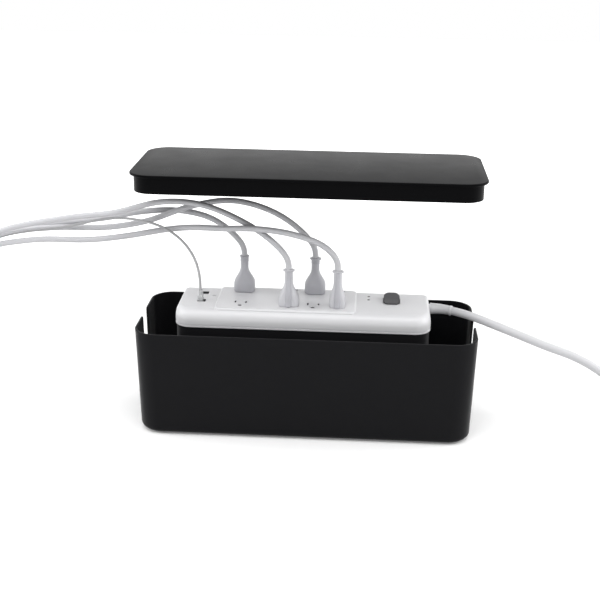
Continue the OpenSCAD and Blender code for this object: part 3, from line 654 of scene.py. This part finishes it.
def wall_plug():
    """The flat mains plug that lies on the floor, face towards the front."""
    low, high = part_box("mains_plug")
    x, z = (low.x + high.x) / 2, WALL_PLUG_HEIGHT
    width, height, slim_width, slim_height = 0.030, 0.024, 0.0150, 0.0145
    face, shoulder = 0.011, 0.013

    def across(back, wide, tall, corner=0.006):
        return [Vector((x + p.x, low.y + back, z + p.y)) for p in outline(wide, tall, corner, 6)]

    rings = [across(0, width - 0.002, height - 0.002, 0.005), across(0.001, width, height),
             across(face, width, height)]
    for share in (k / 8 for k in range(1, 9)):
        slim = eased(share)
        rings.append(across(face + shoulder * share, width - (width - slim_width) * slim,
                            height - (height - slim_height) * slim))
    rings += ribs(across, 6, start=0.0252, pitch=0.0034, size=0.0142, growth=-0.0005, band=0.0022,
                  groove=0.0016)
    bm = loft(bmesh.new(), rings)
    return piece("wall_plug", bm, MAINS, "tub", ["mains_plug"], smooth=50)


# ---------------------------------------------------------------- plugs on the strip

PLUG_NECK, PLUG_SHOULDER = 0.0096, 0.0305      # a plug's width at its neck, and where its shoulder ends


def moulded_plug(i):
    """A flat bottle-shaped plug: body, long shoulder, neck, and the collar that holds its cord."""
    low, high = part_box(f"plug_{i}")
    at = ((low.x + high.x) / 2, (low.y + high.y) / 2)
    (width, depth, tall), z = high - low, low.z
    pale = i in (2, 4)
    tuck, foot, set_back = (0.0010, 0.0075, 0.0030) if pale else (0.0026, 0.0100, 0)
    levels = [(tuck * (1 - math.cos(a)), width - 2 * tuck * (1 - math.sin(a)),
               depth - 1.2 * tuck * (1 - math.sin(a))) for a in quarter_turn(5)]
    for share in (k / 16 for k in range(17)):
        soft = 0.5 - 0.5 * math.cos(math.pi * share ** 0.92)
        levels.append((foot + (PLUG_SHOULDER - foot) * share, width + (PLUG_NECK - width) * soft,
                       depth + (PLUG_NECK - depth) * soft))
    collar = [(0.0012, 0), (0.0011, 0.0009), (0.0003, 0.0009), (0, 0.0004)]
    for drop in () if pale else (0.0028, 0.0046, 0.0064):
        collar = [(drop + 0.0008, 0), (drop + 0.0006, 0.0004), (drop + 0.0002, 0.0004), (drop, 0), *collar]
    levels += [(tall - drop, PLUG_NECK + 2 * swell, PLUG_NECK + 2 * swell) for drop, swell in collar]
    rings = []
    for rise, wide, d in levels:
        roundness = 0.26 + 0.235 * min(1, rise / 0.027) ** 1.5
        deep = d - set_back * (d - PLUG_NECK) / (depth - PLUG_NECK)
        ring = outline(wide, deep, min(wide, deep) * roundness, 8)
        rings.append(level(ring, z + rise, (at[0], at[1] + (d - deep) / 2)))
    bm = loft(bmesh.new(), rings)
    for side in () if i == 1 else (-1, 1):
        middle = (at[0] + side * 0.0055, at[1], z + tall - 0.0013)
        ear = block(bmesh.new(), (0.0022, 0.0034, 0.0024), middle, 0.0006, 0.0004)
        bm = combined(bm, ear, "UNION")
    made = piece(f"moulded_plug_{i}", bm, PALE_PLUG if pale else PLUG, f"plug_{i}",
                 [f"plug_{i}"], smooth=42)
    return [made, neck_column(i, at, z, low.y, tall)] if pale else [made]


def neck_column(i, at, z, face, tall):
    """The half-round column that runs down the plug's front from its collar to its foot, and widens."""
    foot, slim, proud = 0.0039, 0.0027, 0.0011
    body, neck = face + foot, at[1] - PLUG_NECK / 2 - proud + slim
    path = [(at[0], body, z + 0.0005, 0), (at[0], body, z + 0.013, 0), (at[0], body + 0.0012, z + 0.020, 0),
            (at[0], neck, z + 0.0325, 0), (at[0], neck, z + tall - 0.0016, 0)]
    line = curve_through(path, 6)
    radii = [foot + (slim - foot) * min(1, max(0, (point.z - z - 0.012) / 0.022)) for point in line]
    bm = loft(bmesh.new(), tube_rings(line, radii, 32))
    return piece(f"plug_column_{i}", bm, PLUG, f"plug_{i}", smooth=42, edge=0.0004)


def clear_plug(name, node, body, turn, nose):
    """A clear telephone plug with its latch, and the gold contacts let into its nose."""
    low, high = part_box(node)
    thick, width, long = sorted(high - low)
    thick -= 0.0012
    waist, shift = 0.72 * long, Matrix.Translation((0, -0.0006, 0))
    lanes = [0.0010 * (k - 1.5) for k in range(4)]
    stages = [(width - 0.0006, thick - 0.0006, 0.0004, 0), (width, thick, 0.0006, 0.0004),
              (width, thick, 0.0006, waist), (width - 0.0012, thick - 0.0008, 0.0012, waist + 0.0008),
              (width * 0.62, thick * 0.86, 0.0016, waist + 0.0024),
              (width * 0.54, thick * 0.8, 0.0016, long - 0.0003), (width * 0.5, thick * 0.74, 0.0014, long)]
    bm = loft(bmesh.new(), [level(outline(wide, deep, corner, 3), z) for wide, deep, corner, z in stages])
    grooves, latch, pins = bmesh.new(), bmesh.new(), bmesh.new()
    for x in lanes:
        block(grooves, (0.0007, 0.0024, 0.0064), (x, -thick / 2, 0.0032), 0.00005)
        block(pins, (0.0004, 0.0010, 0.0054), (x, 0.0010 - thick / 2, 0.0032), 0.00008, 0.0001)
    bm = combined(bm, grooves, "DIFFERENCE")
    loft(latch, [level(outline(0.0042 - 0.0012 * k, 0.0006, 0.00015, 2), 0.0008 + 0.45 * waist * k,
                       (0, thick / 2 - 0.0001 + 0.0004 * k)) for k in range(3)])
    bm = combined(bm, latch, "UNION")
    for solid in (bm, pins):
        bmesh.ops.transform(solid, matrix=Matrix.Translation(nose) @ turn @ shift, verts=solid.verts)
    return [piece(name, bm, CLEAR, body, [node], smooth=35),
            piece(name + "_contacts", pins, GOLD, body)]


def telephone_plugs():
    """The plug in the strip's jack, nose down, and the one at the thin cord's far end."""
    low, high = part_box("phone_plug")
    upright = Matrix(((0, -1, 0), (1, 0, 0), (0, 0, 1))).to_4x4()
    jack = clear_plug("jack_plug", "phone_plug", "phone_plug", upright,
                      ((low.x + high.x) / 2, (low.y + high.y) / 2, low.z))
    low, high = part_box("phone_end_plug")
    lying = Matrix(((0, 0, -1), (1, 0, 0), (0, 1, 0))).to_4x4()
    far = clear_plug("end_plug", "phone_end_plug", "tub", lying,
                     (high.x, (low.y + high.y) / 2, (low.z + high.z) / 2))
    return jack + far


TELEPHONE_PLUGS = telephone_plugs()
PLUGS = [moulded_plug(i) for i in (1, 2, 3, 4)]
device_cords()
phone_cord()
mains_cord()


# ---------------------------------------------------------------- tub and lid

PLAN_STEPS = 14
CLEAR_OF = 0.01             # how far a cutter runs past what it cuts


def tub_outline(z, inset):
    """The tub's plan outline at a height, drawn in by an inset."""
    share = 1 - z / TUB[2]
    length, width = (size - 2 * lean * share for size, lean in zip(TUB, (END_LEAN, SIDE_LEAN)))
    return level(outline(length - 2 * inset, width - 2 * inset, TUB_CORNER - inset, PLAN_STEPS), z)


def tub_form(inset, bottom, toe, top):
    """The closed form of the tub's outside or inside."""
    rings = [tub_outline(bottom + toe * (1 - math.cos(a)), inset + toe * (1 - math.sin(a)))
             for a in quarter_turn(6)]
    return loft(bmesh.new(), rings + [tub_outline(top, inset)])


def slot_cutter():
    """A bar right through both ends, with the slot's profile and its flared mouth."""
    low, high, half, r = TUB[2] - SLOT_DEPTH, TUB[2], SLOT_WIDTH / 2, SLOT_CORNER
    side = [(half - r + r * math.sin(a), low + r - r * math.cos(a)) for a in quarter_turn(6)]
    side += [(half + r - r * math.cos(a), high - r + r * math.sin(a)) for a in quarter_turn(6)]
    side.append((half + r, high + CLEAR_OF))
    profile = side + [(-y, z) for y, z in reversed(side)]
    return loft(bmesh.new(), [[Vector((x, y, z)) for y, z in profile] for x in (-TUB[0], TUB[0])])


def tub():
    """The deep open box with its round toe and a cord slot in each end."""
    low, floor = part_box("tub")[0].z, 0.003
    inside = tub_form(TUB_WALL, low + floor, TOE - 0.001, TUB[2] + CLEAR_OF)
    bm = combined(tub_form(0, low, TOE, TUB[2]), inside, "DIFFERENCE")
    bm = combined(bm, slot_cutter(), "DIFFERENCE")
    return piece("tub_shell", bm, SHELL, "tub", ["tub"], smooth=35, edge=0.0007)


def lid():
    """The flat plate with its rounded rim, and the skirt that drops inside the tub."""
    low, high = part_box("lid")
    plate, lip, skirt_wall, rise, nick = 0.003, 0.0045, 0.002, 0.0012, 0.0004
    skirt_top = high.z - plate

    def plan(z, inset, wall=0.0):
        length, width = (size - 2 * inset - 2 * wall for size in TUB[:2])
        return level(outline(length, width, TUB_CORNER - inset - wall, PLAN_STEPS), z)

    rings = [plan(skirt_top, nick), plan(skirt_top + nick, 0)]
    rings += [plan(high.z - rise + rise * math.sin(a), rise * (1 - math.cos(a))) for a in quarter_turn(5)]
    bm = loft(bmesh.new(), rings)
    skirt = loft(bmesh.new(), [plan(z, lip) for z in (low.z, skirt_top + 0.001)])
    hollow = loft(bmesh.new(), [plan(z, lip, skirt_wall) for z in (low.z - CLEAR_OF, skirt_top)])
    bm = combined(bm, combined(skirt, hollow, "DIFFERENCE"), "UNION")
    return piece("lid_plate", bm, LID, "lid", ["lid"], smooth=35, edge=0.0004)


tub()
lid()


# ---------------------------------------------------------------- power strip

# Places on the strip are from the middle of its own plan, and heights from its underside
STRIP = (0.302, 0.091, 0.040)
STRIP_X, STRIP_Y, STRIP_AT = -0.005, 0.0005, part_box("strip_base")[0].z
FRONT_CORNER, BACK_CORNER = 0.020, 0.005
SEAM = 0.018
ROLL_SIDE, ROLL_END, ROLL_RISE = 0.010, 0.005, 0.013
COVER_WALL = 0.0022
ROCKER_AT, ROCKER_GAP = (0.105, 0.009), 0.0005
FIELD_FROM, FIELD_TO = (-0.104, -0.040), (0.063, 0.040)
FIELD_RISE, FIELD_CORNER = 0.002, 0.007
OUTLET_FIRST, OUTLET_PITCH = -0.0745, 0.02875
OUTLET_COLUMNS = [OUTLET_FIRST + OUTLET_PITCH * k for k in (0, 2, 3, 4)]
OUTLET_ROWS = [-0.0215, 0.0275]
BLADE_SPREAD, BLADE_BACK, PIN_FRONT = 0.00635, 0.006, 0.0059    # from an outlet's middle
JACK_X, JACK_ROWS, JACK_BACK, JACK_OPENING = -0.1224, (0.014, -0.014), 0.005, (0.0099, 0.0103)
LAMP_X, LAMP_ROWS = 0.0774, (0.0115, 0.0233)
SCREW_AT = (-0.1095, 0.0085)
MAINS_EXIT = (0.0195, 0.029)


def in_strip(bm):
    """Moves what was drawn on the strip's own origin to where the lifted strip is."""
    bmesh.ops.translate(bm, verts=bm.verts, vec=(STRIP_X, STRIP_Y, STRIP_AT))
    return bm


def strip_ring(z, ends, sides, tighter=0.0, steps=12):
    """The strip's plan outline at a height, drawn in at its ends and along its sides."""
    front, back = FRONT_CORNER - tighter, max(BACK_CORNER - tighter, 0.002)
    return level(outline(STRIP[0] - 2 * ends, STRIP[1] - 2 * sides, front, steps, back), z)


def cover_body():
    """The white cover's outside: lower lip, parting groove, upright wall and rolled edge."""
    lip = ((0, 0.0012), (0.0003, 0.0005), (0.0009, 0), (0.0024, 0), (0.0026, 0.0008), (0.0032, 0.0008),
           (0.0034, 0.0001), (0.006, 0))
    rings = [strip_ring(SEAM + rise, inset, inset, inset) for rise, inset in lip]
    rings += [strip_ring(STRIP[2] - ROLL_RISE * (1 - math.sin(a)), ROLL_END * (1 - math.cos(a)),
                         ROLL_SIDE * (1 - math.cos(a))) for a in quarter_turn(12)]
    return loft(bmesh.new(), rings)


def outlet_field():
    """The raised field that carries the outlets, with a softened brow."""
    length, width = (b - a for a, b in zip(FIELD_FROM, FIELD_TO))
    middle = [(a + b) / 2 for a, b in zip(FIELD_FROM, FIELD_TO)]
    rings = []
    for rise, inset in ((-0.006, 0), (0.0002, 0), (0.0010, 0.0007), (0.0016, 0.0013), (0.0019, 0.0019),
                        (FIELD_RISE, 0.0025)):
        plan = outline(length - 2 * inset, width - 2 * inset, FIELD_CORNER - inset, 8)
        rings.append(level(plan, STRIP[2] + rise, middle))
    return loft(bmesh.new(), rings)


def cover_hollow():
    """The room inside the cover, which narrows in steps under its rolled edge."""
    rings, low = [], SEAM - 0.002
    for drop, end, side in ((ROLL_RISE, 0, 0), (0.0072, 0.0006, 0.0013), (COVER_WALL, 0.0026, 0.0052)):
        high = STRIP[2] - drop
        rings += [strip_ring(z, COVER_WALL + end, COVER_WALL + side, COVER_WALL, 8) for z in (low, high)]
        low = high
    return loft(bmesh.new(), rings)


def rocker_plan(grow=0.0):
    """The rocker's outline from above, with bowed ends; grow makes room round it."""
    width, straight, bow = 0.019 + 2 * grow, 0.020 + 2 * grow, 0.0048
    plan = outline(width, straight, 0.0036 + grow, 6)
    for point in plan:
        point.y += math.copysign(bow * (1 - (2 * point.x / width) ** 2), point.y)
    return plan


def cover_openings():
    """Everything that is cut through the cover: slots, jacks, switch, lamps and the mains hole."""
    bm = bmesh.new()
    top, deep = STRIP[2] + 0.0035, 0.014

    def drill(x, y, radius):
        rod(bm, (x, y, top - deep), (x, y, top), radius)

    def punch(x, y, width, length, corner):
        block(bm, (width, length, deep), (x, y, top - deep / 2), corner)

    for x in OUTLET_COLUMNS:
        for y in OUTLET_ROWS:
            punch(x - BLADE_SPREAD, y + BLADE_BACK, 0.0020, 0.0072, 0.0005)
            punch(x + BLADE_SPREAD, y + BLADE_BACK, 0.0020, 0.0064, 0.0005)
            drill(x, y - PIN_FRONT, 0.0026)
    for y in JACK_ROWS:
        punch(JACK_X, y + JACK_BACK, *JACK_OPENING, 0.0006)
    for y in LAMP_ROWS:
        drill(LAMP_X, y, 0.00155)
    drill(*SCREW_AT, 0.00285)
    loft(bm, [level(rocker_plan(ROCKER_GAP), z, ROCKER_AT) for z in (top - deep, top)])
    rod(bm, (STRIP[0] / 2 - 0.0066, *MAINS_EXIT), (STRIP[0] / 2 + CLEAR_OF, *MAINS_EXIT), 0.00552, sides=32)
    return bm


def switch_frame():
    """The low rim round the rocker."""
    profile = ((-0.001, 0.0014), (0.0003, 0.0014), (0.0006, 0.0010), (0.0006, 0.0004), (0.0003, 0.0001),
               (-0.001, 0))
    rings = [level(rocker_plan(ROCKER_GAP + grow), STRIP[2] + rise, ROCKER_AT) for rise, grow in profile]
    return loft(bmesh.new(), rings + rings[:1], caps=(False, False))


def paint_shade_in_cuts(finish, low, high, top):
    """Paints shade on the walls of what is cut below a top face, between two plan corners of the strip: a
    darker base colour that stands for the shade inside the cuts.
    """
    low, high, painted_shade = Vector(low), Vector(high), (0.02, 0.02, 0.022, 1)
    middle, half = (low + high) / 2 + Vector((STRIP_X, STRIP_Y)), (high - low) / 2
    spot = finish.node("ShaderNodeVectorMath", {"operation": "SUBTRACT"},
                       {0: finish.place, 1: (*middle, STRIP_AT + top)})
    side = finish.node("ShaderNodeVectorMath", {"operation": "ABSOLUTE"}, {0: spot})
    x, y = (finish.node("ShaderNodeSeparateXYZ", sockets={"Vector": side}, out=axis) for axis in "XY")
    height = finish.node("ShaderNodeSeparateXYZ", sockets={"Vector": spot}, out="Z")
    rim = finish.node("ShaderNodeMapRange", {"interpolation_type": "SMOOTHSTEP"},
                      {"Value": height, "From Min": -0.0012, "From Max": -0.0003})
    # Where the painted shade goes: below the top face and inside the window
    painted_shade_mask = (1 - rim) * (x < half.x) * (y < half.y)
    before = Value(finish, finish.shader.inputs["Base Color"].links[0].from_socket)
    finish.set("Base Color", finish.mix(painted_shade_mask, before, painted_shade))


def strip_cover():
    """The white cover with its outlets and painted shade in its cuts, and the rim round its switch."""
    # Windows of painted shade: the outlet field drawn in a little, and the jack openings
    inside = 0.004
    jack_shade_from, jack_shade_to = (-0.1284, -0.0148), (-0.1164, 0.0250)
    paint_shade_in_cuts(WHITE, [a + inside for a in FIELD_FROM], [b - inside for b in FIELD_TO],
               STRIP[2] + FIELD_RISE)
    paint_shade_in_cuts(WHITE, jack_shade_from, jack_shade_to, STRIP[2])
    bm = combined(cover_body(), outlet_field(), "UNION")
    bm = combined(bm, cover_hollow(), "DIFFERENCE")
    bm = combined(bm, cover_openings(), "DIFFERENCE")
    piece("strip_top", in_strip(bm), WHITE, "power_strip", ["strip_cover"], smooth=30,
          edge=0.0003)
    piece("switch_rim", in_strip(switch_frame()), WHITE, "power_strip", smooth=50)


def rocker():
    """The grey rocker: bowed ends in plan, a shallow dip along it and its top tipped towards the front."""
    body = loft(bmesh.new(), [level(rocker_plan(), z) for z in (-0.004, 0.013)])
    side = [(-0.018, -0.002), (0.018, -0.002), (0.018, 0.0098), (0.0135, 0.0101), (0.010, 0.0096),
            (0.005, 0.0084), (0, 0.0077), (-0.005, 0.0074), (-0.010, 0.0075), (-0.0135, 0.0072),
            (-0.018, 0.0062)]
    crest = loft(bmesh.new(), [[Vector((x, y, z)) for y, z in side] for x in (-0.02, 0.02)])
    arch = [(x, 0.0102 - 20 * x * x) for x in (0.001 * k for k in range(12, -13, -1))]
    arch = [(0.012, -0.003), *arch, (-0.012, -0.003)]
    dome = loft(bmesh.new(), [[Vector((x, y, z)) for x, z in arch] for y in (-0.02, 0.02)])
    bm = combined(combined(body, crest, "INTERSECT"), dome, "INTERSECT")
    seat, tip = 0.036, math.radians(6)
    place = Matrix.Translation((*ROCKER_AT, seat)) @ Matrix.Rotation(tip, 4, "X")
    bmesh.ops.transform(bm, matrix=place, verts=bm.verts)
    piece("rocker", in_strip(bm), ROCKER, "rocker", ["switch_rocker"], smooth=32, edge=0.0008)


strip_cover()
rocker()


# ---------------------------------------------------------------- floor and light

def area_lamp(name, place, aim, size, power):
    """A wide soft lamp that faces a point."""
    data = bpy.data.lights.new(name, "AREA")
    data.shape, data.size, data.size_y = "RECTANGLE", *size
    data.energy = power
    lamp = bpy.data.objects.new(name, data)
    scene.collection.objects.link(lamp)
    lamp.location = place
    lamp.rotation_mode = "QUATERNION"
    lamp.rotation_quaternion = (Vector(aim) - Vector(place)).to_track_quat("-Z", "Y")


def pale_floor():
    """A plain floor that keeps the object's shadow and fades to white away from it."""
    bm = bmesh.new()
    bmesh.ops.create_grid(bm, x_segments=2, y_segments=2, size=4)
    floor = as_object("floor", bm)
    paint = Finish("floor_paint", (0.86, 0.86, 0.86), 0.8)
    spot = paint.node("ShaderNodeVectorMath", {"operation": "LENGTH"}, {0: paint.place}, "Value")
    far = paint.node("ShaderNodeMapRange", {"interpolation_type": "SMOOTHSTEP"},
                     {"Value": spot, "From Min": 0.5, "From Max": 1.3, "To Min": 0.12, "To Max": 1.0})
    paint.set("Emission Color", (1, 1, 1, 1))
    paint.set("Emission Strength", paint.seen_rays() * far)
    floor.data.materials.append(paint.material)


def backdrop():
    """A soft world that is white where the camera, a gloss or a clear piece sees it."""
    world = bpy.data.worlds.new("studio")
    scene.world = world
    world.use_nodes = True
    sky = Nodes(world.node_tree)
    background = sky.tree.nodes["Background"]
    strength = sky.node("ShaderNodeMix", {"data_type": "FLOAT"},
                        {"Factor": sky.seen_rays(), "A": 0.55, "B": 1.0}, "Result")
    sky.feed(background.inputs["Strength"], strength)
    sky.feed(background.inputs["Color"], (1, 1, 1, 1))


def studio():
    """The floor, the backdrop, a lamp in front, one overhead and a lower one at each side."""
    pale_floor()
    backdrop()
    area_lamp("key", (0, -1.15, 1.75), (0, 0, 0.15), (1.8, 0.9), 20)
    area_lamp("overhead", (0, 0.2, 1.9), (0, 0, 0.1), (2.2, 1.4), 14)
    for name, side in (("left", -1), ("right", 1)):
        area_lamp(name, (1.7 * side, -0.05, 0.9), (0, 0, 0.15), (0.9, 1.2), 16)
    scene.view_settings.view_transform = "Standard"


studio()
